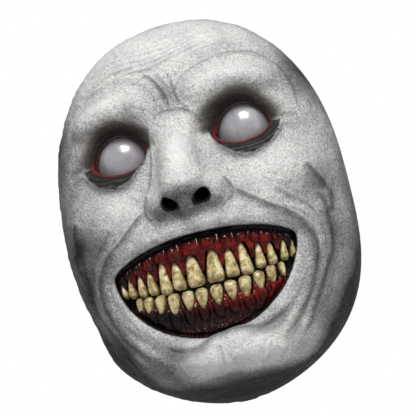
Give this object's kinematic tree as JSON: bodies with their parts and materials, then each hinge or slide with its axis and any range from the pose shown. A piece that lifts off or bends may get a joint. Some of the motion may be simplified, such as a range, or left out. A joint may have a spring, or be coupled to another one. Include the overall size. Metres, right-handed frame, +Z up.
{
  "type": "latex halloween mask",
  "caption": "Hollow latex ghoul face mask with domed blank eyes, bared separate teeth in raw gums, and a riveted elastic head strap.",
  "frame": {"origin": "centre of the open back, in the plane of the rim, at eye level", "axes": "+Z up, the face looks along -Y and the wearer's head comes in along -Y, +X to the right of someone facing the mask"},
  "size_m": [0.199, 0.1454, 0.2668],
  "materials": {
    "latex_skin": "matt, airbrushed charcoal shading",
    "eye_plastic": "milky gloss",
    "lid_latex": "wet gloss",
    "gum_latex": "wet gloss",
    "tooth_resin": "stained gloss",
    "screen_fabric": "black gauze",
    "elastic_webbing": "woven black elastic",
    "tab_leather": "grained matt",
    "rivet_steel": "satin nickel"
  },
  "bodies": {
    "mask": {"face_skin": "latex_skin", "upper_gum": "gum_latex", "lower_gum": "gum_latex", "mouth_screen": "screen_fabric", "eye_dome_right": "eye_plastic", "eye_seal_right": "lid_latex", "strap_tab_right": "tab_leather", "rivet_right": "rivet_steel", "rivet_washer_right": "rivet_steel", "eye_dome_left": "eye_plastic", "eye_seal_left": "lid_latex", "strap_tab_left": "tab_leather", "rivet_left": "rivet_steel", "rivet_washer_left": "rivet_steel", "upper_central_incisor_right": "tooth_resin", "upper_central_incisor_left": "tooth_resin", "upper_lateral_incisor_right": "tooth_resin", "upper_lateral_incisor_left": "tooth_resin", "upper_canine_right": "tooth_resin", "upper_canine_left": "tooth_resin", "upper_first_premolar_right": "tooth_resin", "upper_first_premolar_left": "tooth_resin", "upper_second_premolar_right": "tooth_resin", "upper_second_premolar_left": "tooth_resin", "upper_first_molar_right": "tooth_resin", "upper_first_molar_left": "tooth_resin", "upper_second_molar_right": "tooth_resin", "upper_second_molar_left": "tooth_resin", "lower_central_incisor_right": "tooth_resin", "lower_central_incisor_left": "tooth_resin", "lower_lateral_incisor_right": "tooth_resin", "lower_lateral_incisor_left": "tooth_resin", "lower_canine_right": "tooth_resin", "lower_canine_left": "tooth_resin", "lower_first_premolar_right": "tooth_resin", "lower_first_premolar_left": "tooth_resin", "lower_second_premolar_right": "tooth_resin", "lower_second_premolar_left": "tooth_resin", "lower_first_molar_right": "tooth_resin", "lower_first_molar_left": "tooth_resin"},
    "strap": {"elastic_strap": "elastic_webbing"}
  },
  "joints": [
    {"name": "strap_swing", "type": "hinge", "parent": "mask", "child": "strap", "pos_m": [0, 0.01, 0.008], "axis": [1, 0, 0], "range_deg": [-75, 75]}
  ]
}
